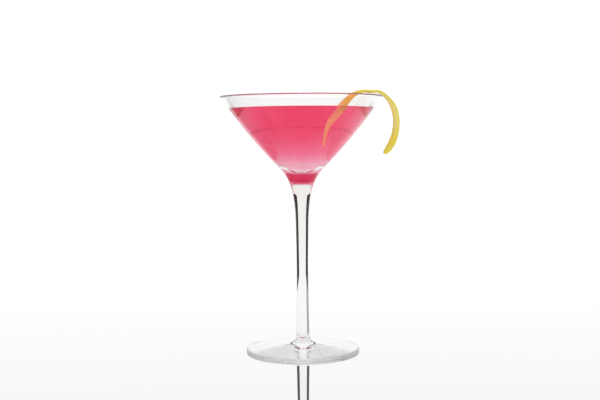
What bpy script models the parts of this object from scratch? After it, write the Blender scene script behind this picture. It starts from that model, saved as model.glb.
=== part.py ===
"""Vodka and lemon cocktail: a stemmed cone glass, its pink drink and a lemon twist.

The glass is one turned solid of foot, stem and bowl. The drink fills the bowl
to a level just under the rim. The twist is a strip of lemon peel that is hooked
over the rim: one end hangs outside, the other runs down inside the wall and into
the drink. Metres, +Z up. The origin is the middle of the foot's underside.
"""

import math

import bmesh
import bpy
from mathutils import Vector
from mathutils.geometry import interpolate_bezier

# Glass: the outline's knots, as radius and height
RIM = (0.0570, 0.1786)
BOWL_END = (0.0153, 0.1289)
NECK = (0.00465, 0.0920)
WAIST = (0.00412, 0.0540)
STEM_END = (0.0047, 0.0120)
FLARE = (0.0110, 0.0046)
FOOT_RADIUS = 0.0400
FOOT_EDGE_RADIUS = 0.00095

# How far the outline's curve is pulled at each knot
RIM_PULL = (-0.0054, -0.0060)
BOWL_END_PULL_UP = (0.0255, 0.0260)
BOWL_END_PULL_DOWN = (-0.0078, -0.0078)
NECK_PULL_UP = (0.0005, 0.0180)
NECK_PULL_DOWN = (-0.0002, -0.0120)
WAIST_PULL_UP = (0.0, 0.0120)
WAIST_PULL_DOWN = (0.0, -0.0140)
STEM_END_PULL_UP = (-0.0003, 0.0100)
STEM_END_PULL_DOWN = (0.0002, -0.0050)
FLARE_PULL_IN = (-0.0040, 0.0009)
FLARE_PULL_OUT = (0.0070, -0.0014)
FOOT_EDGE_PULL = (-0.0100, 0.0002)

# Bowl: an even wall that swells into a thick base under a round floor
WALL_AT_RIM = 0.0012
WALL_AT_BASE = 0.0016
BASE_SWELL = 0.0050
BASE_SWELL_POWER = 8
FLOOR_EDGE_HEIGHT = 0.1330
FLOOR_EDGE_PULL = 0.0030
FLOOR_HEIGHT = 0.1283
FLOOR_FLAT_SHARE = 0.5

# Drink
LIQUID_LEVEL = 0.1713
GAP = 0.0003

# Lemon twist
PEEL_WIDTH = 0.0056
PEEL_THICKNESS = 0.0020
PEEL_ROUNDING = 0.0008
PEEL_STATIONS = 56
PATH_RESOLUTION = 10
LEVEL_TURN = -135.0

# The twist's middle line from its hanging end, over the rim and into the drink:
# place, turn in degrees from lying flat on the rim, and share of the full width
TWIST_PATH = (
    ((0.0563, -0.0200, 0.1392), 15.0, 0.60),
    ((0.0597, -0.0203, 0.1434), 15.0, 0.92),
    ((0.0626, -0.0207, 0.1492), 12.0, 1.00),
    ((0.0642, -0.0211, 0.1558), 9.0, 1.00),
    ((0.0644, -0.0215, 0.1634), 6.0, 1.00),
    ((0.0624, -0.0221, 0.1709), 2.0, 1.00),
    ((0.0581, -0.0234, 0.1771), -14.0, 1.00),
    ((0.0526, -0.0264, 0.1809), -18.0, 1.00),
    ((0.0467, -0.0306, 0.1810), -13.0, 1.00),
    ((0.0407, -0.0346, 0.1804), -13.0, 1.00),
    ((0.0350, -0.0362, 0.1781), -28.0, 1.00),
    ((0.0303, -0.0365, 0.1750), -48.0, 1.00),
    ((0.0262, -0.0362, 0.1708), -69.0, 1.00),
    ((0.0225, -0.0350, 0.1668), -95.0, 0.95),
    ((0.0192, -0.0330, 0.1628), -127.0, 0.92),
    ((0.0168, -0.0300, 0.1582), -157.0, 0.90),
    ((0.0154, -0.0265, 0.1536), -176.0, 0.86),
    ((0.0146, -0.0228, 0.1493), -184.0, 0.80),
    ((0.0141, -0.0192, 0.1458), -188.0, 0.55),
)

# Fineness
BOWL_STEPS = 12
FLOOR_STEPS = 6
LIP_STEPS = 6
NECK_STEPS = 9
UPPER_STEM_STEPS = 2
LOWER_STEM_STEPS = 3
FLARE_STEPS = 6
FOOT_TOP_STEPS = 6
FOOT_EDGE_STEPS = 5
TURN_STEPS = 64
ROUNDING_STEPS = 2
MERGE_DISTANCE = 0.00001


def clear_scene():
    """Remove every object that the file starts with."""
    for item in list(bpy.data.objects):
        bpy.data.objects.remove(item, do_unlink=True)


def new_collection(name):
    """Return a new collection linked to the scene."""
    collection = bpy.data.collections.new(name)
    bpy.context.scene.collection.children.link(collection)
    return collection


def make_material(name, colour, roughness, transmission=0.0, ior=1.45):
    """Return a Principled material."""
    material = bpy.data.materials.new(name)
    material.use_nodes = True
    shader = material.node_tree.nodes["Principled BSDF"]
    shader.inputs["Base Color"].default_value = (*colour, 1.0)
    shader.inputs["Roughness"].default_value = roughness
    shader.inputs["Metallic"].default_value = 0.0
    shader.inputs["Transmission Weight"].default_value = transmission
    shader.inputs["IOR"].default_value = ior
    return material


def moved(point, pull):
    """Return a (radius, height) point moved by a pull."""
    return (point[0] + pull[0], point[1] + pull[1])


def curve_points(start, start_pull, end_pull, end, steps):
    """Return (radius, height) points along one Bezier stretch, both ends included."""
    outline = (start, moved(start, start_pull), moved(end, end_pull), end)
    knots = [Vector((radius, 0.0, height)) for radius, height in outline]
    return [(point.x, point.z) for point in interpolate_bezier(*knots, steps + 1)]


def arc_points(centre, radius, start_angle, end_angle, steps):
    """Return (radius, height) points along an arc, both ends included."""
    points = []
    for step in range(steps + 1):
        angle = start_angle + (end_angle - start_angle) * step / steps
        points.append((centre[0] + radius * math.cos(angle), centre[1] + radius * math.sin(angle)))
    return points


def bowl_outside():
    """Return the outer wall of the bowl, from under the rim down to the neck."""
    return curve_points(RIM, RIM_PULL, BOWL_END_PULL_UP, BOWL_END, BOWL_STEPS)


def inset(points, distances):
    """Move each of a wall's points inwards, square to the wall, by its own distance."""
    placed = []
    last = len(points) - 1
    for index, ((radius, height), distance) in enumerate(zip(points, distances)):
        before = points[max(index - 1, 0)]
        after = points[min(index + 1, last)]
        run = Vector((after[0] - before[0], after[1] - before[1])).normalized()
        placed.append((radius + run.y * distance, height - run.x * distance))
    return placed


def wall_thickness(share):
    """Return the bowl wall's thickness at a share of the way down from the rim."""
    even = WALL_AT_RIM + (WALL_AT_BASE - WALL_AT_RIM) * share
    return even + BASE_SWELL * share**BASE_SWELL_POWER


def bowl_inside():
    """Return the inner wall of the bowl from the rim down, and its round floor to the axis."""
    distances = [wall_thickness(index / BOWL_STEPS) for index in range(BOWL_STEPS + 1)]
    wall = [point for point in inset(bowl_outside(), distances) if point[1] > FLOOR_EDGE_HEIGHT]
    down = (Vector(wall[-1]) - Vector(wall[-2])).normalized() * FLOOR_EDGE_PULL
    middle_pull = (wall[-1][0] * FLOOR_FLAT_SHARE, 0.0)
    floor = curve_points(wall[-1], down, middle_pull, (0.0, FLOOR_HEIGHT), FLOOR_STEPS)
    return wall + floor[1:]


def lip(inner_end, outer_end):
    """Return the round lip that joins the two walls over the top."""
    middle = ((inner_end[0] + outer_end[0]) / 2, (inner_end[1] + outer_end[1]) / 2)
    radius = math.dist(inner_end, outer_end) / 2
    start = math.atan2(inner_end[1] - middle[1], inner_end[0] - middle[0])
    return arc_points(middle, radius, start, start - math.pi, LIP_STEPS)


def stem_and_foot():
    """Return the outside of neck, stem and foot, down to the middle of the underside."""
    edge_middle = (FOOT_RADIUS - FOOT_EDGE_RADIUS, FOOT_EDGE_RADIUS)
    edge_top = (edge_middle[0], 2 * FOOT_EDGE_RADIUS)
    neck = curve_points(BOWL_END, BOWL_END_PULL_DOWN, NECK_PULL_UP, NECK, NECK_STEPS)
    upper_stem = curve_points(NECK, NECK_PULL_DOWN, WAIST_PULL_UP, WAIST, UPPER_STEM_STEPS)
    lower_stem = curve_points(WAIST, WAIST_PULL_DOWN, STEM_END_PULL_UP, STEM_END, LOWER_STEM_STEPS)
    flare = curve_points(STEM_END, STEM_END_PULL_DOWN, FLARE_PULL_IN, FLARE, FLARE_STEPS)
    foot_top = curve_points(FLARE, FLARE_PULL_OUT, FOOT_EDGE_PULL, edge_top, FOOT_TOP_STEPS)
    edge = arc_points(edge_middle, FOOT_EDGE_RADIUS, math.pi / 2, -math.pi / 2, FOOT_EDGE_STEPS)
    return neck[1:] + upper_stem[1:] + lower_stem[1:] + flare[1:] + foot_top[1:] + edge[1:] + [(0.0, 0.0)]


def turned_object(name, outline, material, collection):
    """Turn an outline of (radius, height) points about the Z axis into a solid."""
    mesh = bpy.data.meshes.new(name)
    points = [(radius, 0.0, height) for radius, height in outline]
    mesh.from_pydata(points, [(index, index + 1) for index in range(len(points) - 1)], [])
    turned = bpy.data.objects.new(name, mesh)
    mesh.materials.append(material)
    collection.objects.link(turned)
    screw = turned.modifiers.new("Turn", "SCREW")
    screw.axis = "Z"
    screw.steps = TURN_STEPS
    screw.render_steps = TURN_STEPS
    screw.use_merge_vertices = True
    screw.merge_threshold = MERGE_DISTANCE
    screw.use_smooth_shade = True
    return turned


def build_glass(collection):
    """Make the glass: bowl, stem and foot in one turned solid."""
    outside = bowl_outside()
    inside = bowl_inside()
    rim = lip(inside[0], outside[0])
    outline = inside[::-1] + rim[1:-1] + outside + stem_and_foot()
    glass = make_material("clear_glass", (0.93, 0.95, 0.95), 0.02, transmission=1.0, ior=1.5)
    return turned_object("glass", outline, glass, collection)


def surface_edge(wall):
    """Return the point of an inner wall at the level of the drink."""
    for upper, lower in zip(wall, wall[1:]):
        if lower[1] <= LIQUID_LEVEL:
            share = (upper[1] - LIQUID_LEVEL) / (upper[1] - lower[1])
            return (upper[0] + (lower[0] - upper[0]) * share, LIQUID_LEVEL)
    return wall[-1]


def build_drink(collection):
    """Make the drink: a solid from the bowl's floor up to its level, clear of the glass."""
    inside = bowl_inside()
    wall = inset(inside, [GAP] * len(inside))
    edge = surface_edge(wall)
    below = [point for point in wall if point[1] < edge[1] - GAP]
    floor_middle = (0.0, FLOOR_HEIGHT + GAP)
    outline = [(0.0, LIQUID_LEVEL), edge] + below[:-1] + [floor_middle]
    pink = make_material("pink_drink", (0.84, 0.08, 0.17), 0.05, transmission=0.6, ior=1.34)
    return turned_object("drink", outline, pink, collection)


def hide_guide(guide):
    """Keep a guide or a cutter out of the finished model."""
    guide.hide_render = True
    guide.display_type = "WIRE"


def twist_route(collection):
    """Make the smooth curve that the twist follows."""
    data = bpy.data.curves.new("twist_route", "CURVE")
    data.dimensions = "3D"
    data.twist_mode = "MINIMUM"
    data.resolution_u = PATH_RESOLUTION
    data.use_radius = True
    spline = data.splines.new("BEZIER")
    spline.bezier_points.add(len(TWIST_PATH) - 1)
    for knot, (place, turn, width) in zip(spline.bezier_points, TWIST_PATH):
        knot.co = place
        knot.handle_left_type = "AUTO"
        knot.handle_right_type = "AUTO"
        knot.tilt = math.radians(LEVEL_TURN + turn)
        knot.radius = width
    route = bpy.data.objects.new("twist_route", data)
    collection.objects.link(route)
    hide_guide(route)
    return route


def peel_strip(name, route, margin, collection):
    """Lay a straight strip of peel, grown by a margin all round, along the route."""
    length = route.data.splines[0].calc_length()
    mesh = bpy.data.meshes.new(name)
    strip = bmesh.new()
    bmesh.ops.create_cube(strip, size=1.0)
    size = (length + 2 * margin, PEEL_WIDTH + 2 * margin, PEEL_THICKNESS + 2 * margin)
    bmesh.ops.scale(strip, vec=size, verts=strip.verts)
    bmesh.ops.translate(strip, vec=(length / 2, 0.0, 0.0), verts=strip.verts)
    long_edges = [edge for edge in strip.edges if abs(edge.verts[0].co.x - edge.verts[1].co.x) > length / 2]
    bmesh.ops.bevel(
        strip,
        geom=long_edges,
        affect="EDGES",
        offset=PEEL_ROUNDING + margin,
        segments=ROUNDING_STEPS,
        profile=0.5,
        material=-1,
    )
    long_edges = [edge for edge in strip.edges if abs(edge.verts[0].co.x - edge.verts[1].co.x) > length / 2]
    bmesh.ops.subdivide_edges(strip, edges=long_edges, cuts=PEEL_STATIONS - 1, use_grid_fill=True)
    strip.to_mesh(mesh)
    strip.free()
    mesh.shade_smooth()
    laid = bpy.data.objects.new(name, mesh)
    collection.objects.link(laid)
    follow = laid.modifiers.new("Follow", "CURVE")
    follow.object = route
    follow.deform_axis = "POS_X"
    return laid


def build_twist(collection, route):
    """Make the lemon twist along its route."""
    twist = peel_strip("lemon_twist", route, 0.0, collection)
    twist.data.materials.append(make_material("lemon_peel", (0.80, 0.60, 0.07), 0.5))
    return twist


def cut_drink(drink, route, cutters):
    """Cut the drink round the twist, with a small gap."""
    cutter = peel_strip("twist_cutter", route, GAP, cutters)
    hide_guide(cutter)
    cut = drink.modifiers.new("Cut", "BOOLEAN")
    cut.operation = "DIFFERENCE"
    cut.solver = "EXACT"
    cut.object = cutter


def main():
    """Build the cocktail."""
    clear_scene()
    parts = new_collection("vodka_lemon_cocktail")
    cutters = new_collection("guides_and_cutters")
    route = twist_route(cutters)
    build_glass(parts)
    drink = build_drink(parts)
    build_twist(parts, route)
    cut_drink(drink, route, cutters)


main()
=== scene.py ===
"""Looks of a vodka and lemon cocktail: clear stemmed glass, pink drink and lemon twist.

Everything is in metres in the part's own frame: +Z up, the origin in the middle of
the foot's underside, the twist hanging on the +X side and the viewer on the -Y side.
"""

import logging
import math
from collections.abc import Callable
from dataclasses import dataclass, field
from enum import Enum

import bmesh
import bpy
from mathutils import Matrix, Vector, noise
from mathutils.geometry import interpolate_bezier


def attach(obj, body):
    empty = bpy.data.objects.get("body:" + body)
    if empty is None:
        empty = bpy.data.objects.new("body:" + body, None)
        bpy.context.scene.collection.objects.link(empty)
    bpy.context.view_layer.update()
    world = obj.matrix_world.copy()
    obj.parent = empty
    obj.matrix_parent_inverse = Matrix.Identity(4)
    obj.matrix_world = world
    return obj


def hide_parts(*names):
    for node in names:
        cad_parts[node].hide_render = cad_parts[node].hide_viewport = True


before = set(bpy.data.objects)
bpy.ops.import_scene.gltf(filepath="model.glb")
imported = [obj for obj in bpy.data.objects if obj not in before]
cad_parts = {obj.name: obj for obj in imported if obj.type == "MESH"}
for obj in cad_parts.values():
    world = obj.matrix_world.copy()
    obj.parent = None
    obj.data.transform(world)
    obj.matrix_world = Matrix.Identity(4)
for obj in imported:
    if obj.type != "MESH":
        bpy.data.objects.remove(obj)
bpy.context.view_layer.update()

LOG = logging.getLogger("cocktail")
BODY = "root"
MERGE_DISTANCE = 0.000005
MIX_FACTOR, MIX_FIRST, MIX_SECOND, MIX_RESULT = 0, 6, 7, 2

Point = tuple[float, float]
Colour = tuple[float, float, float]


class Side(Enum):
    """Which way a twist's surface faces: the waxy outside or the cut inside."""

    ZEST = 1
    PITH = -1


def curve_points(start: Point, start_handle: Point, end_handle: Point, end: Point, steps: int) -> list[Point]:
    """Return (radius, height) points along one Bezier stretch.

    Args:
        start: First point.
        start_handle: Handle that the first point pulls towards.
        end_handle: Handle that the last point pulls towards.
        end: Last point.
        steps: Number of straight pieces.

    Returns:
        The points, both ends included.
    """
    knots = [Vector((radius, 0.0, height)) for radius, height in (start, start_handle, end_handle, end)]
    return [(point.x, point.z) for point in interpolate_bezier(*knots, steps + 1)]


@dataclass(frozen=True)
class Stretch:
    """One curved stretch of a wall, shaped by how far a handle stands off each end."""

    start_pull: Point
    end_pull: Point
    steps: int

    def points(self, start: Point, end: Point) -> list[Point]:
        """Return the stretch's points.

        Args:
            start: First point.
            end: Last point.

        Returns:
            The points, both ends included.
        """
        start_handle = (start[0] + self.start_pull[0], start[1] + self.start_pull[1])
        end_handle = (end[0] + self.end_pull[0], end[1] + self.end_pull[1])
        return curve_points(start, start_handle, end_handle, end, self.steps)


def arc_points(centre: Point, radius: float, start: float, end: float, steps: int) -> list[Point]:
    """Return (radius, height) points along an arc.

    Args:
        centre: Middle of the arc.
        radius: Radius of the arc.
        start: First angle in radians.
        end: Last angle in radians.
        steps: Number of straight pieces.

    Returns:
        The points, both ends included.
    """
    points = []
    for step in range(steps + 1):
        angle = start + (end - start) * step / steps
        points.append((centre[0] + radius * math.cos(angle), centre[1] + radius * math.sin(angle)))
    return points


def inset(points: list[Point], distance: Callable[[float], float]) -> list[Point]:
    """Move a wall's points square to the wall, inwards for a positive distance.

    Args:
        points: The wall from the top down.
        distance: Gives the distance at a share of the way from the first point to the last.

    Returns:
        The moved points.
    """
    moved = []
    end = len(points) - 1
    for index, (radius, height) in enumerate(points):
        before = points[max(index - 1, 0)]
        after = points[min(index + 1, end)]
        run = Vector((after[0] - before[0], after[1] - before[1])).normalized()
        step = distance(index / end)
        moved.append((radius + run.y * step, height - run.x * step))
    return moved


def smooth_step(low: float, high: float, value: float) -> float:
    """Return a smooth rise from 0 to 1.

    Args:
        low: Value at and below which the result is 0.
        high: Value at and above which the result is 1.
        value: The value to place between them.

    Returns:
        The share risen.
    """
    share = min(1.0, max(0.0, (value - low) / (high - low)))
    return share * share * (3.0 - 2.0 * share)


def turned_mesh(name: str, outline: list[Point], steps: int) -> bpy.types.Mesh:
    """Spin an outline about the Z axis into a closed mesh.

    Args:
        name: Name of the mesh.
        outline: (radius, height) points from axis to axis.
        steps: Number of steps round.

    Returns:
        The smooth-shaded mesh, its faces pointing out.
    """
    shape = bmesh.new()
    chain = [shape.verts.new((radius, 0.0, height)) for radius, height in outline]
    links = [shape.edges.new(pair) for pair in zip(chain, chain[1:])]
    bmesh.ops.spin(
        shape,
        geom=chain + links,
        cent=(0.0, 0.0, 0.0),
        axis=(0.0, 0.0, 1.0),
        dvec=(0.0, 0.0, 0.0),
        angle=math.tau,
        steps=steps,
        use_merge=True,
    )
    bmesh.ops.remove_doubles(shape, verts=shape.verts, dist=MERGE_DISTANCE)
    bmesh.ops.recalc_face_normals(shape, faces=shape.faces)
    mesh = bpy.data.meshes.new(name)
    shape.to_mesh(mesh)
    shape.free()
    mesh.shade_smooth()
    return mesh


def add_piece(name: str, mesh: bpy.types.Mesh, node: str) -> bpy.types.Object:
    """Put a finished mesh in the scene in place of its CAD node.

    Args:
        name: Name of the piece.
        mesh: The mesh, in place in the part's frame.
        node: The CAD node that the piece stands for.

    Returns:
        The new object.
    """
    piece = bpy.data.objects.new(name, mesh)
    bpy.context.scene.collection.objects.link(piece)
    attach(piece, BODY)
    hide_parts(node)
    LOG.info("%s: %d faces, in place of %s", name, len(mesh.polygons), node)
    return piece


class Nodes:
    """A small helper that adds and links shader nodes in one tree."""

    def __init__(self, tree: bpy.types.NodeTree) -> None:
        """Keep the tree that the nodes go into."""
        self.tree = tree

    def add(self, kind: str, **inputs: object) -> bpy.types.Node:
        """Add a node and set or link its inputs.

        Args:
            kind: The node's type name.
            **inputs: Socket names, with underscores for spaces, and a value or an output socket.

        Returns:
            The new node.
        """
        node = self.tree.nodes.new(kind)
        for name, value in inputs.items():
            self.put(node, name.replace("_", " "), value)
        return node

    def put(self, node: bpy.types.Node, name: str | int, value: object) -> None:
        """Set an input socket, or link it where the value is an output socket.

        Args:
            node: The node.
            name: Name or number of the input.
            value: A value or an output socket.
        """
        if isinstance(value, bpy.types.NodeSocket):
            self.tree.links.new(value, node.inputs[name])
        else:
            node.inputs[name].default_value = value

    def object_place(self) -> bpy.types.NodeSocket:
        """Return the place on the object, in its own coordinates."""
        return self.add("ShaderNodeTexCoord").outputs["Object"]

    def parts(self, place: bpy.types.NodeSocket) -> bpy.types.NodeOutputs:
        """Return the X, Y and Z outputs of a place."""
        return self.add("ShaderNodeSeparateXYZ", Vector=place).outputs

    def speckle(self, place: bpy.types.NodeSocket, scale: float, detail: float) -> bpy.types.NodeSocket:
        """Return the level of a noise texture.

        Args:
            place: Where on the surface the noise is read.
            scale: Number of waves in a metre.
            detail: Number of finer layers.

        Returns:
            The level, from 0 to 1.
        """
        return self.add("ShaderNodeTexNoise", Vector=place, Scale=scale, Detail=detail).outputs["Fac"]

    def ramp(self, factor: bpy.types.NodeSocket, stops: list[tuple[float, Colour]]) -> bpy.types.NodeSocket:
        """Return the colour of a colour ramp.

        Args:
            factor: Where on the ramp, from 0 to 1.
            stops: Places and colours along the ramp.

        Returns:
            The colour output.
        """
        node = self.add("ShaderNodeValToRGB", Fac=factor)
        elements = node.color_ramp.elements
        while len(elements) < len(stops):
            elements.new(0.5)
        for element, (place, colour) in zip(elements, stops):
            element.position = place
            element.color = (*colour, 1.0)
        return node.outputs["Color"]

    def levels(self, factor: bpy.types.NodeSocket, stops: tuple[Point, ...]) -> bpy.types.NodeSocket:
        """Return a grey colour ramp's output, with stops of place and level."""
        return self.ramp(factor, [(place, (level, level, level)) for place, level in stops])

    def math(self, operation: str, first: object, second: object) -> bpy.types.NodeSocket:
        """Return the result of a math node.

        Args:
            operation: The node's operation.
            first: First number or socket.
            second: Second number or socket.

        Returns:
            The result's output.
        """
        node = self.tree.nodes.new("ShaderNodeMath")
        node.operation = operation
        self.put(node, 0, first)
        self.put(node, 1, second)
        return node.outputs[0]

    def mix(self, factor: bpy.types.NodeSocket, first: object, second: object) -> bpy.types.NodeSocket:
        """Return a mix of two colours.

        Args:
            factor: Share of the second colour.
            first: First colour or socket.
            second: Second colour or socket.

        Returns:
            The mixed colour's output.
        """
        node = self.tree.nodes.new("ShaderNodeMix")
        node.data_type = "RGBA"
        self.put(node, MIX_FACTOR, factor)
        for index, colour in ((MIX_FIRST, first), (MIX_SECOND, second)):
            self.put(node, index, (*colour, 1.0) if isinstance(colour, tuple) else colour)
        return node.outputs[MIX_RESULT]


def new_material(name: str) -> tuple[bpy.types.Material, Nodes, bpy.types.Node]:
    """Make a material.

    Args:
        name: Name of the material.

    Returns:
        The material, its node helper and its Principled shader.
    """
    material = bpy.data.materials.new(name)
    material.use_nodes = True
    return material, Nodes(material.node_tree), material.node_tree.nodes["Principled BSDF"]


@dataclass(frozen=True)
class ClearFinish:
    """What each clear material has: an index, a glint and a colour that deepens with thickness."""

    ior: float
    density: float
    passes: Colour
    glint: float

    def clear_material(self, name: str) -> tuple[bpy.types.Material, Nodes, bpy.types.Node]:
        """Make a clear material that takes up light on its way through.

        Args:
            name: Name of the material.

        Returns:
            The material, its node helper and its Principled shader.
        """
        material, nodes, shader = new_material(name)
        nodes.put(shader, "Transmission Weight", 1.0)
        nodes.put(shader, "IOR", self.ior)
        nodes.put(shader, "Specular Tint", (self.glint, self.glint, self.glint, 1.0))
        absorption = nodes.add("ShaderNodeVolumeAbsorption", Color=(*self.passes, 1.0), Density=self.density)
        output = material.node_tree.nodes["Material Output"]
        nodes.put(output, "Volume", absorption.outputs["Volume"])
        return material, nodes, shader


@dataclass(frozen=True)
class ClearGlassFinish(ClearFinish):
    """Clear polished glass, tinted by height, with the drink's pink light painted into the solid neck."""

    ior: float = 1.5
    density: float = 4.4
    passes: Colour = (0.10, 0.12, 0.09)
    glint: float = 0.25
    foot_tint: Colour = (0.975, 0.975, 0.973)
    lower_stem_tint: Colour = (0.930, 0.922, 0.912)
    stem_tint: Colour = (0.880, 0.858, 0.830)
    bowl_tint: Colour = (0.956, 0.951, 0.943)
    tint_places: tuple[float, ...] = (0.25, 0.45, 0.85, 0.91, 0.99)
    top: float = 0.130
    # Painted light: the drink's pink light as seen in the solid neck, painted into the glass's colour between
    # these heights.
    neck_painted_drink_light: Colour = (0.56, 0.0145, 0.060)
    painted_drink_light_heights: tuple[Point, ...] = ((0.1183, 0.0), (0.1200, 1.0), (0.1252, 1.0), (0.1266, 0.0))
    smears_per_metre: float = 110.0
    smear_detail: float = 4.0
    smear_contrast: float = 6.0
    smear_roughness: float = 0.012
    waves_per_metre: float = 70.0
    wave_detail: float = 1.0
    wave_height: float = 0.000012

    def body_colour(self, nodes: Nodes, place: bpy.types.NodeSocket) -> bpy.types.NodeSocket:
        """Return the tint from the foot up to the bowl, with the drink's pink light painted into the neck.

        Args:
            nodes: The material's node helper.
            place: Place on the glass.

        Returns:
            The colour's output.
        """
        height = nodes.math("DIVIDE", nodes.parts(place)["Z"], self.top)
        tints = (self.foot_tint, self.lower_stem_tint, self.stem_tint, self.stem_tint, self.bowl_tint)
        tint = nodes.ramp(height, list(zip(self.tint_places, tints)))
        # Painted light: the drink's pink light painted over the tint in the solid neck.
        glow = nodes.levels(height, tuple((at / self.top, level) for at, level in self.painted_drink_light_heights))
        return nodes.mix(glow, tint, self.neck_painted_drink_light)

    def material(self) -> bpy.types.Material:
        """Return the glass material."""
        material, nodes, shader = self.clear_material("polished_clear_glass")
        place = nodes.object_place()
        smears = nodes.speckle(place, self.smears_per_metre, self.smear_detail)
        smear = nodes.math("MULTIPLY", nodes.math("POWER", smears, self.smear_contrast), self.smear_roughness)
        waves = nodes.speckle(place, self.waves_per_metre, self.wave_detail)
        bump = nodes.add("ShaderNodeBump", Height=waves, Distance=self.wave_height, Strength=1.0)
        nodes.put(shader, "Base Color", self.body_colour(nodes, place))
        nodes.put(shader, "Roughness", smear)
        nodes.put(shader, "Normal", bump.outputs["Normal"])
        return material


@dataclass(frozen=True)
class PinkDrinkFinish(ClearFinish):
    """Clear pink-red drink that darkens with depth."""

    ior: float = 1.26
    density: float = 34.0
    passes: Colour = (0.955, 0.015, 0.330)
    glint: float = 0.15
    swirls_per_metre: float = 60.0
    swirl_detail: float = 3.0
    surface_roughness: float = 0.004

    def material(self) -> bpy.types.Material:
        """Return the drink material."""
        material, nodes, shader = self.clear_material("deep_pink_drink")
        swirl = nodes.speckle(nodes.object_place(), self.swirls_per_metre, self.swirl_detail)
        nodes.put(shader, "Base Color", (1.0, 1.0, 1.0, 1.0))
        nodes.put(shader, "Roughness", nodes.math("MULTIPLY", swirl, self.surface_roughness))
        return material


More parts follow.
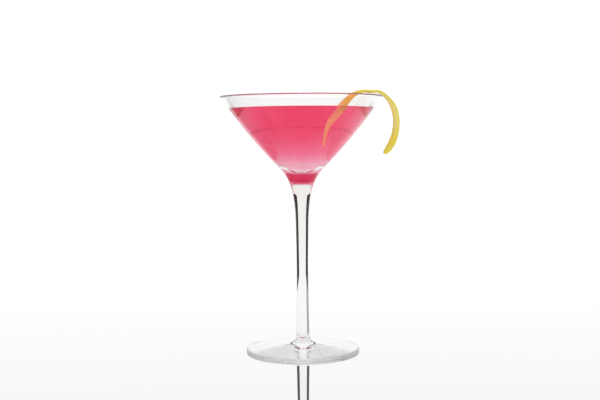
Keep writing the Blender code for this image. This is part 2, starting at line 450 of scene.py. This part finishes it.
@dataclass(frozen=True)
class LemonPeelFinish:
    """Lemon peel coloured by how deep the surface lies under the waxy skin, with painted shade and painted
    light near the drink.
    """

    zest: Colour = (0.80, 0.65, 0.015)
    zest_deep: Colour = (0.69, 0.51, 0.006)
    pith: Colour = (0.84, 0.78, 0.28)
    # Painted shade and painted pink light from the drink, on the peel inside the bowl above the drink.
    painted_shade_and_drink_light: Colour = (0.83, 0.345, 0.02)
    # The drink's stain on the peel under the drink, brightened with painted light.
    drink_stain_and_painted_light: Colour = (0.98, 0.42, 0.22)
    # Painted glow given off by the peel under the drink, though it is no lamp.
    glow: Colour = (1.0, 0.30, 0.08)
    painted_glow_strength: float = 0.07
    zest_depth: float = 0.0009
    pith_depth: float = 0.0017
    pith_wander: float = 0.0008
    pith_shown: tuple[Point, ...] = ((0.0, 0.25), (0.10, 0.30), (0.17, 0.75), (0.33, 0.75), (0.42, 0.4))
    strip_length: float = 0.13
    inner_x: float = 0.014
    inner_span: float = 0.050
    # How far across the glass the painted shade and drink light reach on the peel.
    painted_shade_reach: tuple[Point, ...] = ((0.40, 1.0), (0.54, 0.0))
    # How far across the glass the drink's stain and its painted light reach on the peel.
    stain_and_painted_light_reach: tuple[Point, ...] = ((0.20, 1.0), (0.31, 0.0))
    blotches_per_metre: float = 420.0
    blotch_detail: float = 3.0
    glands_per_metre: float = 1150.0
    gland_reach: tuple[Point, ...] = ((0.0, 1.0), (0.45, 0.0))
    gland_darkness: float = 0.35
    gland_dent: float = 0.6
    fibres_per_metre: float = 2400.0
    fibre_detail: float = 4.0
    bump_height: float = 0.00012
    bump_strength: float = 0.6
    zest_roughness: float = 0.38
    pith_extra_roughness: float = 0.25
    gloss: float = 0.3
    inner_light: float = 0.08
    inner_light_depth: float = 0.001
    inner_light_colours: Colour = (1.0, 0.8, 0.3)

    def pith_share(
        self, nodes: Nodes, place: bpy.types.NodeSocket, blotch: bpy.types.NodeSocket
    ) -> bpy.types.NodeSocket:
        """Return how much of the pale pith shows.

        Args:
            nodes: The material's node helper.
            place: Place on the flat strip: along, across and depth under the skin.
            blotch: Level of the skin's blotches, which the pith's border follows.

        Returns:
            The share's output.
        """
        parts = nodes.parts(place)
        wander = nodes.math("MULTIPLY", nodes.math("SUBTRACT", blotch, 0.5), self.pith_wander)
        below_zest = nodes.math("SUBTRACT", nodes.math("ADD", parts["Z"], wander), self.zest_depth)
        share = nodes.math("DIVIDE", below_zest, self.pith_depth - self.zest_depth)
        share = nodes.levels(share, ((0.0, 0.0), (1.0, 1.0)))
        along = nodes.math("DIVIDE", parts["X"], self.strip_length)
        return nodes.math("MULTIPLY", share, nodes.levels(along, self.pith_shown))

    def material(self) -> bpy.types.Material:
        """Return the peel material."""
        material, nodes, shader = new_material("lemon_zest_and_pith")
        strip = nodes.add("ShaderNodeAttribute")
        strip.attribute_name = LemonTwist.PLACE_ATTRIBUTE
        place = strip.outputs["Vector"]
        blotch = nodes.speckle(place, self.blotches_per_metre, self.blotch_detail)
        glands = nodes.add("ShaderNodeTexVoronoi", Vector=place, Scale=self.glands_per_metre)
        gland = nodes.levels(glands.outputs["Distance"], self.gland_reach)
        yellow = nodes.mix(blotch, self.zest, self.zest_deep)
        yellow = nodes.mix(nodes.math("MULTIPLY", gland, self.gland_darkness), yellow, self.zest_deep)
        pith = self.pith_share(nodes, place, blotch)
        colour = nodes.mix(pith, yellow, self.pith)
        across_glass = nodes.parts(nodes.object_place())["X"]
        inner = nodes.math("DIVIDE", nodes.math("SUBTRACT", across_glass, self.inner_x), self.inner_span)
        # Painted shade and painted pink light from the drink on the peel inside the bowl above the drink.
        colour = nodes.mix(nodes.levels(inner, self.painted_shade_reach), colour, self.painted_shade_and_drink_light)
        # The drink's stain, brightened with painted light, on the peel under the drink.
        drink_stain_and_painted_light = nodes.levels(inner, self.stain_and_painted_light_reach)
        nodes.put(shader, "Base Color", nodes.mix(drink_stain_and_painted_light, colour, self.drink_stain_and_painted_light))
        # Painted glow: the peel under the drink gives off light, though it is no lamp.
        nodes.put(shader, "Emission Color", nodes.mix(drink_stain_and_painted_light, (0.0, 0.0, 0.0), self.glow))
        nodes.put(shader, "Emission Strength", self.painted_glow_strength)
        fibres = nodes.speckle(place, self.fibres_per_metre, self.fibre_detail)
        height = nodes.math("SUBTRACT", fibres, nodes.math("MULTIPLY", gland, self.gland_dent))
        bump = nodes.add("ShaderNodeBump", Height=height, Distance=self.bump_height)
        nodes.put(bump, "Strength", self.bump_strength)
        nodes.put(shader, "Normal", bump.outputs["Normal"])
        rougher = nodes.math("MULTIPLY", pith, self.pith_extra_roughness)
        nodes.put(shader, "Roughness", nodes.math("ADD", rougher, self.zest_roughness))
        nodes.put(shader, "Specular IOR Level", self.gloss)
        nodes.put(shader, "Subsurface Weight", self.inner_light)
        nodes.put(shader, "Subsurface Scale", self.inner_light_depth)
        nodes.put(shader, "Subsurface Radius", self.inner_light_colours)
        return material


@dataclass(frozen=True)
class GlossyFloorFinish:
    """Pale glossy sheet that mirrors what stands on it, with painted shade that pales away from the front."""

    # Painted shade: the floor's colour runs from darker at the front to paler further back.
    near: Colour = (0.850, 0.850, 0.848)
    middle: Colour = (0.895, 0.895, 0.893)
    far: Colour = (0.965, 0.965, 0.965)
    near_y: float = -0.15
    painted_shade_length: float = 0.5
    metallic: float = 0.93
    hazes_per_metre: float = 6.0
    haze_detail: float = 3.0
    most_roughness: float = 0.024

    def material(self) -> bpy.types.Material:
        """Return the floor material."""
        material, nodes, shader = new_material("glossy_floor")
        place = nodes.object_place()
        haze = nodes.speckle(place, self.hazes_per_metre, self.haze_detail)
        away = nodes.math("SUBTRACT", nodes.parts(place)["Y"], self.near_y)
        share = nodes.math("DIVIDE", away, self.painted_shade_length)
        # Painted shade: darker near the front, paler further back.
        shade = nodes.ramp(share, [(0.0, self.near), (0.5, self.middle), (1.0, self.far)])
        nodes.put(shader, "Base Color", shade)
        nodes.put(shader, "Metallic", self.metallic)
        nodes.put(shader, "Roughness", nodes.math("MULTIPLY", haze, self.most_roughness))
        return material


@dataclass(frozen=True)
class LateLightFinish:
    """Plain dull screen whose own light changes once a ray has bounced often enough."""

    colour: Colour
    early_light: float
    late_light: float
    early_bounces: float

    def material(self, name: str) -> bpy.types.Material:
        """Make the screen's material.

        Args:
            name: Name of the material.

        Returns:
            The material.
        """
        material, nodes, shader = new_material(name)
        nodes.put(shader, "Base Color", (*self.colour, 1.0))
        nodes.put(shader, "Roughness", 1.0)
        nodes.put(shader, "Specular IOR Level", 0.0)
        bounces = nodes.add("ShaderNodeLightPath").outputs["Ray Depth"]
        late = nodes.math("GREATER_THAN", bounces, self.early_bounces)
        change = nodes.math("MULTIPLY", late, self.late_light - self.early_light)
        nodes.put(shader, "Emission Color", (1.0, 1.0, 1.0, 1.0))
        nodes.put(shader, "Emission Strength", nodes.math("ADD", change, self.early_light))
        return material


@dataclass
class StemmedGlass:
    """The glass: foot, stem and cone-shaped bowl in one turned solid."""

    rim_radius: float = 0.0570
    bowl_top: float = 0.1786
    bowl_end: Point = (0.0153, 0.1289)
    neck: Point = (0.00465, 0.0920)
    waist: Point = (0.00412, 0.0540)
    stem_end: Point = (0.0047, 0.0120)
    flare: Point = (0.0110, 0.0046)
    foot_radius: float = 0.0400
    foot_edge_radius: float = 0.00095
    bowl_curve: Stretch = Stretch((-0.0054, -0.0060), (0.0255, 0.0260), 60)
    neck_curve: Stretch = Stretch((-0.0078, -0.0078), (0.0005, 0.0180), 40)
    upper_stem_curve: Stretch = Stretch((-0.0002, -0.0120), (0.0, 0.0120), 16)
    lower_stem_curve: Stretch = Stretch((0.0, -0.0140), (-0.0003, 0.0100), 16)
    flare_curve: Stretch = Stretch((0.0002, -0.0050), (-0.0040, 0.0009), 24)
    foot_top_curve: Stretch = Stretch((0.0070, -0.0014), (-0.0100, 0.0002), 24)
    wall_at_rim: float = 0.0012
    wall_at_base: float = 0.0016
    base_swell: float = 0.0050
    base_swell_power: float = 8.0
    floor_from: float = 0.1330
    floor_height: float = 0.1283
    floor_pull: float = 0.0030
    floor_flat_share: float = 0.5
    floor_steps: int = 32
    standing_ring: float = 0.0012
    hollow_pull: float = 0.0080
    hollow_flat_share: float = 0.5
    hollow_steps: int = 24
    underside_hollow: float = 0.0007
    edge_steps: int = 12
    steps: int = 192
    finish: ClearGlassFinish = field(default_factory=ClearGlassFinish)

    def bowl_outside(self) -> list[Point]:
        """Return the bowl's outer wall, from under the rim down to the neck."""
        return self.bowl_curve.points((self.rim_radius, self.bowl_top), self.bowl_end)

    def wall_thickness(self, share: float) -> float:
        """Return the bowl wall's thickness at a share of the way down, swelling near the base."""
        even = self.wall_at_rim + (self.wall_at_base - self.wall_at_rim) * share
        return even + self.base_swell * share**self.base_swell_power

    def bowl_inside(self) -> list[Point]:
        """Return the bowl's inner wall from the rim down, and its round floor to the axis."""
        whole = inset(self.bowl_outside(), self.wall_thickness)
        wall = [point for point in whole if point[1] > self.floor_from]
        above, last = Vector(wall[-2]), Vector(wall[-1])
        handle = last + (last - above).normalized() * self.floor_pull
        flat_handle = (last.x * self.floor_flat_share, self.floor_height)
        middle = (0.0, self.floor_height)
        floor = curve_points(wall[-1], (handle.x, handle.y), flat_handle, middle, self.floor_steps)
        return wall + floor[1:]

    def lip(self) -> list[Point]:
        """Return the round lip between the two walls, without its end points."""
        inner = self.bowl_inside()[0]
        outer = self.bowl_outside()[0]
        middle = ((inner[0] + outer[0]) / 2, (inner[1] + outer[1]) / 2)
        start = math.atan2(inner[1] - middle[1], inner[0] - middle[0])
        radius = math.dist(inner, outer) / 2
        return arc_points(middle, radius, start, start - math.pi, self.edge_steps)[1:-1]

    def stem(self) -> list[Point]:
        """Return the outside of neck and stem, from the bowl's end to where the foot starts."""
        neck = self.neck_curve.points(self.bowl_end, self.neck)
        upper = self.upper_stem_curve.points(self.neck, self.waist)
        lower = self.lower_stem_curve.points(self.waist, self.stem_end)
        return neck[1:] + upper[1:] + lower[1:]

    def foot(self) -> list[Point]:
        """Return the foot's outside, from the stem's end to the middle of the underside."""
        middle = (self.foot_radius - self.foot_edge_radius, self.foot_edge_radius)
        flare = self.flare_curve.points(self.stem_end, self.flare)
        top = self.foot_top_curve.points(self.flare, (middle[0], 2 * self.foot_edge_radius))
        edge = arc_points(middle, self.foot_edge_radius, math.pi / 2, -math.pi / 2, self.edge_steps)
        hollow = curve_points(
            (middle[0] - self.standing_ring, 0.0),
            (middle[0] - self.hollow_pull, 0.0),
            (self.hollow_flat_share * self.foot_radius, self.underside_hollow),
            (0.0, self.underside_hollow),
            self.hollow_steps,
        )
        return flare[1:] + top[1:] + edge[1:] + hollow

    def build(self) -> bpy.types.Object:
        """Turn the glass, dress it and put it in place."""
        outline = self.bowl_inside()[::-1] + self.lip() + self.bowl_outside() + self.stem() + self.foot()
        mesh = turned_mesh("clear_stemmed_glass", outline, self.steps)
        mesh.materials.append(self.finish.material())
        return add_piece("clear_stemmed_glass", mesh, "glass")


@dataclass
class PinkDrink:
    """The drink in the bowl, which reaches just into the glass wall."""

    glass: StemmedGlass
    level: float = 0.1717
    into_wall: float = 0.0002
    surface_rings: tuple[float, ...] = (0.0, 0.25, 0.5, 0.75, 0.9, 0.97)
    steps: int = 192
    finish: PinkDrinkFinish = field(default_factory=PinkDrinkFinish)

    def wall(self) -> list[Point]:
        """Return the drink's side and bottom from its edge on the wall down to the axis."""
        wall = inset(self.glass.bowl_inside(), lambda share: -self.into_wall)
        for upper, lower in zip(wall, wall[1:]):
            if lower[1] <= self.level:
                share = (upper[1] - self.level) / (upper[1] - lower[1])
                edge = (upper[0] + (lower[0] - upper[0]) * share, self.level)
                break
        below = [point for point in wall if point[1] < self.level - self.into_wall]
        return [edge] + below[:-1] + [(0.0, self.glass.floor_height - self.into_wall)]

    def surface(self, edge_radius: float) -> list[Point]:
        """Return the drink's level top from the axis out to short of its edge on the wall."""
        return [(share * edge_radius, self.level) for share in self.surface_rings]

    def build(self) -> bpy.types.Object:
        """Turn the drink, dress it and put it in place."""
        wall = self.wall()
        mesh = turned_mesh("pink_vodka_drink", self.surface(wall[0][0]) + wall, self.steps)
        mesh.materials.append(self.finish.material())
        return add_piece("pink_vodka_drink", mesh, "drink")


@dataclass
class LemonTwist:
    """A channel-cut strip of peel, hooked over the rim and down into the drink."""

    width: float = 0.0056
    thickness: float = 0.0020
    edge_thickness: float = 0.0006
    side_fullness: float = 0.85
    face_fullness: float = 0.75
    edge_fullness: float = 0.5
    zest_flatness: float = 0.55
    stations: int = 480
    round_steps: int = 48
    route_steps: int = 32
    level_turn: float = -135.0
    end_taper: float = 0.0022
    end_width: float = 0.30
    edge_roughness: float = 0.00028
    edge_power: int = 4
    ragged_waves: float = 900.0
    nick_waves: float = 330.0
    nick_depth: float = 1.4
    swell_waves: tuple[float, float] = (160.0, 200.0)
    swell_height: float = 0.00012
    pore_spacing: float = 0.0009
    pore_mouth: float = 0.45
    pore_depth: float = 0.00006
    finish: LemonPeelFinish = field(default_factory=LemonPeelFinish)

    PLACE_ATTRIBUTE = "strip_place"
    RAGGED_ROW, NICK_ROW, NICK_LAYER, SWELL_LAYER = 3.0, 7.0, 5.0, 11.0
    ROUTE = (
        ((0.0563, -0.0200, 0.1392), 15.0, 0.60),
        ((0.0597, -0.0203, 0.1434), 15.0, 0.92),
        ((0.0626, -0.0207, 0.1492), 12.0, 1.00),
        ((0.0642, -0.0211, 0.1558), 9.0, 1.00),
        ((0.0644, -0.0215, 0.1634), 6.0, 1.00),
        ((0.0624, -0.0221, 0.1709), 2.0, 1.00),
        ((0.0581, -0.0234, 0.1771), -14.0, 1.00),
        ((0.0526, -0.0264, 0.1809), -18.0, 1.00),
        ((0.0467, -0.0306, 0.1810), -13.0, 1.00),
        ((0.0407, -0.0346, 0.1811), -13.0, 1.00),
        ((0.0348, -0.0362, 0.1791), -28.0, 1.00),
        ((0.0302, -0.0365, 0.1754), -48.0, 1.00),
        ((0.0262, -0.0362, 0.1708), -69.0, 1.00),
        ((0.0225, -0.0350, 0.1668), -95.0, 0.95),
        ((0.0192, -0.0330, 0.1628), -127.0, 0.92),
        ((0.0168, -0.0300, 0.1582), -157.0, 0.90),
        ((0.0154, -0.0265, 0.1536), -176.0, 0.86),
        ((0.0146, -0.0228, 0.1493), -184.0, 0.80),
        ((0.0141, -0.0192, 0.1458), -188.0, 0.55),
    )

    def route(self) -> bpy.types.Object:
        """Return the guide curve that the strip is laid along."""
        data = bpy.data.curves.new("twist_route", "CURVE")
        data.dimensions = "3D"
        data.twist_mode = "MINIMUM"
        data.resolution_u = self.route_steps
        data.use_radius = True
        spline = data.splines.new("BEZIER")
        spline.bezier_points.add(len(self.ROUTE) - 1)
        for knot, (place, turn, width) in zip(spline.bezier_points, self.ROUTE):
            knot.co = place
            knot.handle_left_type = "AUTO"
            knot.handle_right_type = "AUTO"
            knot.tilt = math.radians(self.level_turn + turn)
            knot.radius = width
        guide = bpy.data.objects.new("twist_route", data)
        bpy.context.scene.collection.objects.link(guide)
        return guide

    def section(self, angle: float) -> tuple[float, float]:
        """Return the place across and the height of the strip's section at one angle round it.

        Args:
            angle: 0 at one edge, a quarter turn over the zest, three quarters under the pith.

        Returns:
            Place across the strip and height over its middle plane.
        """
        across = math.copysign(abs(math.cos(angle)) ** self.side_fullness, math.cos(angle))
        bulge = math.copysign(abs(math.sin(angle)) ** self.face_fullness, math.sin(angle))
        side = Side.ZEST if bulge >= 0.0 else Side.PITH
        crown = 1.0 - across * across
        half = self.edge_thickness / 2
        edge = half * abs(bulge) ** self.edge_fullness
        rise = self.thickness / 2 - half
        if side is Side.ZEST:
            height = edge + rise * (self.zest_flatness + (1.0 - self.zest_flatness) * crown) * abs(bulge)
        else:
            height = -edge - rise * crown
        return across * self.width / 2, height

    def straight_strip(self, length: float) -> bmesh.types.BMesh:
        """Return the strip laid straight along +X, with its zest up.

        Args:
            length: Length of the strip.

        Returns:
            The closed strip.
        """
        strip = bmesh.new()
        ring = bmesh.ops.create_circle(strip, cap_ends=False, segments=self.round_steps, radius=1.0)["verts"]
        for vert in ring:
            across, height = self.section(math.atan2(vert.co.y, vert.co.x))
            vert.co = (0.0, across, height)
        swept = bmesh.ops.extrude_edge_only(strip, edges=strip.edges)["geom"]
        moved = [item for item in swept if isinstance(item, bmesh.types.BMVert)]
        bmesh.ops.translate(strip, vec=(length, 0.0, 0.0), verts=moved)
        bmesh.ops.holes_fill(strip, edges=strip.edges, sides=0)
        spans = [(edge, abs(edge.verts[0].co.x - edge.verts[1].co.x)) for edge in strip.edges]
        long_edges = [edge for edge, span in spans if span > length / 2]
        bmesh.ops.subdivide_edges(strip, edges=long_edges, cuts=self.stations - 1, use_grid_fill=True)
        ends = [face for face in strip.faces if len(face.verts) > 4]
        bmesh.ops.poke(strip, faces=ends)
        bmesh.ops.recalc_face_normals(strip, faces=strip.faces)
        return strip

    def cut_edge(self, along: float, across: float) -> float:
        """Return how far the cut edge is moved across by its ragged line and its nicks.

        Args:
            along: Place along the strip.
            across: Place across the strip.

        Returns:
            The move across, with the sign of the side.
        """
        ragged = noise.noise(Vector((along * self.ragged_waves, math.copysign(self.RAGGED_ROW, across), 0.0)))
        nick_place = (along * self.nick_waves, math.copysign(self.NICK_ROW, across), self.NICK_LAYER)
        nick = noise.noise(Vector(nick_place))
        reach = abs(across) / (self.width / 2)
        strength = math.copysign(1.0, across) * reach**self.edge_power * self.edge_roughness
        return strength * (ragged + self.nick_depth * min(0.0, nick))

    def skin(self, along: float, across: float, height: float) -> float:
        """Return how far the surface is raised by its slow swells and lowered by the zest's pores.

        Args:
            along: Place along the strip.
            across: Place across the strip.
            height: Height over the strip's middle plane.

        Returns:
            The move upwards.
        """
        swell_place = (along * self.swell_waves[0], across * self.swell_waves[1], self.SWELL_LAYER)
        swell = noise.noise(Vector(swell_place)) * self.swell_height
        if height <= 0.0:
            return swell
        pore = noise.voronoi(Vector((along, across, 0.0)) / self.pore_spacing)[0][0]
        return swell - self.pore_depth * (1.0 - smooth_step(0.0, self.pore_mouth, pore))

    def carve(self, strip: bmesh.types.BMesh, length: float) -> None:
        """Round the ends, roughen the cut edges and press in the zest's pores.

        Args:
            strip: The straight strip, which is changed.
            length: Length of the strip.
        """
        place = strip.verts.layers.float_vector.new(self.PLACE_ATTRIBUTE)
        for vert in strip.verts:
            along, across, height = vert.co
            end = min(1.0, min(along, length - along) / self.end_taper)
            round_end = math.sqrt(max(0.0, 1.0 - (1.0 - end) ** 2))
            share = self.end_width + (1.0 - self.end_width) * round_end
            across_now = across * share + self.cut_edge(along, across)
            vert[place] = Vector((along, across_now, max(0.0, self.thickness / 2 - height)))
            vert.co = Vector((along, across_now, height * share + self.skin(along, across, height)))

    def build(self) -> bpy.types.Object:
        """Cut the strip, lay it over the rim, dress it and put it in place."""
        guide = self.route()
        length = guide.data.splines[0].calc_length()
        strip = self.straight_strip(length)
        self.carve(strip, length)
        flat = bpy.data.meshes.new("flat_strip")
        strip.to_mesh(flat)
        strip.free()
        laid = bpy.data.objects.new("flat_strip", flat)
        bpy.context.scene.collection.objects.link(laid)
        follow = laid.modifiers.new("Follow", "CURVE")
        follow.object = guide
        follow.deform_axis = "POS_X"
        graph = bpy.context.evaluated_depsgraph_get()
        mesh = bpy.data.meshes.new_from_object(laid.evaluated_get(graph))
        mesh.name = "lemon_peel_twist"
        mesh.shade_smooth()
        bpy.data.objects.remove(laid)
        bpy.data.objects.remove(guide)
        mesh.materials.clear()
        mesh.materials.append(self.finish.material())
        return add_piece("lemon_peel_twist", mesh, "lemon_twist")


@dataclass
class Studio:
    """Bright-field set: pale glossy floor, white surround, dark side cards and a dim panel."""

    floor_radius: float = 4.0
    floor_drop: float = 0.0001
    floor_steps: int = 96
    surround_strength: float = 1.05
    card_distance: float = 0.09
    card_bottom: float = 0.024
    card_top: float = 0.145
    card_near: float = 0.04
    card_far: float = 0.20
    card_colour: Colour = (0.01, 0.01, 0.01)
    card_light: float = 0.0
    card_late_light: float = 0.85
    card_early_bounces: float = 5.5
    panel_distance: float = 1.6
    panel_steps: tuple[int, int] = (72, 36)
    panel_from: float = -88.0
    panel_to: float = -28.0
    panel_low: float = 6.0
    panel_high: float = 70.0
    panel_colour: Colour = (0.0, 0.0, 0.0)
    panel_late_light: float = 0.35
    panel_early_bounces: float = 1.5
    camera_place: tuple[float, float, float] = (-0.00137, -0.7207, 0.1514)
    camera_pitch: float = 0.0620
    camera_roll: float = -0.0075
    lens: float = 61.5
    sensor_width: float = 36.0
    most_bounces: int = 128
    floor_finish: GlossyFloorFinish = field(default_factory=GlossyFloorFinish)

    def stage_object(
        self, name: str, shape: bmesh.types.BMesh, material: bpy.types.Material
    ) -> bpy.types.Object:
        """Put a part of the set in the scene.

        Args:
            name: Name of the object.
            shape: Its shape, which is freed.
            material: Its material.

        Returns:
            The new object.
        """
        mesh = bpy.data.meshes.new(name)
        shape.to_mesh(mesh)
        shape.free()
        mesh.materials.append(material)
        item = bpy.data.objects.new(name, mesh)
        bpy.context.scene.collection.objects.link(item)
        return item

    def floor(self) -> None:
        """Lay the floor."""
        shape = bmesh.new()
        bmesh.ops.create_circle(shape, cap_ends=True, segments=self.floor_steps, radius=self.floor_radius)
        plane = self.stage_object("floor", shape, self.floor_finish.material())
        plane.location.z = -self.floor_drop

    def dark_card(self, name: str, side: float) -> None:
        """Stand one dark card beside the glass, seen only through the glass and the drink.

        Args:
            name: Name of the card.
            side: -1 for the left and 1 for the right.
        """
        shape = bmesh.new()
        bmesh.ops.create_grid(shape, x_segments=1, y_segments=1, size=0.5)
        upright = Matrix.Rotation(math.pi / 2, 3, "Y")
        bmesh.ops.rotate(shape, cent=(0.0, 0.0, 0.0), matrix=upright, verts=shape.verts)
        size = (1.0, self.card_far - self.card_near, self.card_top - self.card_bottom)
        bmesh.ops.scale(shape, vec=size, verts=shape.verts)
        middle_y = (self.card_far + self.card_near) / 2
        middle_z = (self.card_top + self.card_bottom) / 2
        bmesh.ops.translate(shape, vec=(side * self.card_distance, middle_y, middle_z), verts=shape.verts)
        finish = LateLightFinish(
            self.card_colour, self.card_light, self.card_late_light, self.card_early_bounces
        )
        card = self.stage_object(name, shape, finish.material("dark_card"))
        card.visible_camera = False
        card.visible_diffuse = False
        card.visible_glossy = False
        card.visible_shadow = False

    def dim_panel(self) -> None:
        """Curve a dim panel round the left, seen only in reflections."""
        shape = bmesh.new()
        round_steps, rise_steps = self.panel_steps
        bmesh.ops.create_uvsphere(
            shape, u_segments=round_steps, v_segments=rise_steps, radius=self.panel_distance
        )
        outside = []
        for face in shape.faces:
            middle = face.calc_center_median()
            turn = math.degrees(math.atan2(middle.x, middle.y))
            rise = math.degrees(math.asin(middle.z / middle.length))
            if not (self.panel_from < turn < self.panel_to and self.panel_low < rise < self.panel_high):
                outside.append(face)
        bmesh.ops.delete(shape, geom=outside, context="FACES")
        finish = LateLightFinish(
            self.panel_colour, self.surround_strength, self.panel_late_light, self.panel_early_bounces
        )
        panel = self.stage_object("dim_panel", shape, finish.material("dim_panel"))
        panel.visible_camera = False
        panel.visible_diffuse = False
        panel.visible_transmission = False
        panel.visible_shadow = False

    def surround(self) -> None:
        """Light everything from a plain white surround."""
        world = bpy.data.worlds.new("white_surround")
        world.use_nodes = True
        background = world.node_tree.nodes["Background"]
        background.inputs["Color"].default_value = (1.0, 1.0, 1.0, 1.0)
        background.inputs["Strength"].default_value = self.surround_strength
        bpy.context.scene.world = world

    def camera(self) -> None:
        """Set up the camera."""
        data = bpy.data.cameras.new("camera")
        data.lens = self.lens
        data.sensor_width = self.sensor_width
        camera = bpy.data.objects.new("camera", data)
        camera.matrix_world = (
            Matrix.Translation(self.camera_place)
            @ Matrix.Rotation(math.pi / 2 - self.camera_pitch, 4, "X")
            @ Matrix.Rotation(self.camera_roll, 4, "Z")
        )
        bpy.context.scene.collection.objects.link(camera)
        bpy.context.scene.camera = camera

    def build(self) -> None:
        """Set up floor, cards, panel, surround, camera and colour handling."""
        self.floor()
        self.dark_card("dark_card_left", -1.0)
        self.dark_card("dark_card_right", 1.0)
        self.dim_panel()
        self.surround()
        self.camera()
        scene = bpy.context.scene
        scene.view_settings.view_transform = "Standard"
        scene.cycles.use_denoising = True
        scene.cycles.blur_glossy = 0.0
        scene.cycles.max_bounces = self.most_bounces
        scene.cycles.transmission_bounces = self.most_bounces
        scene.cycles.glossy_bounces = self.most_bounces
        LOG.info("studio: floor, cards, panel, surround and camera")


def main() -> None:
    """Build the cocktail and its set."""
    logging.basicConfig(level=logging.INFO, format="%(name)s %(message)s")
    glass = StemmedGlass()
    glass.build()
    PinkDrink(glass).build()
    LemonTwist().build()
    Studio().build()


if __name__ == "__main__":
    main()
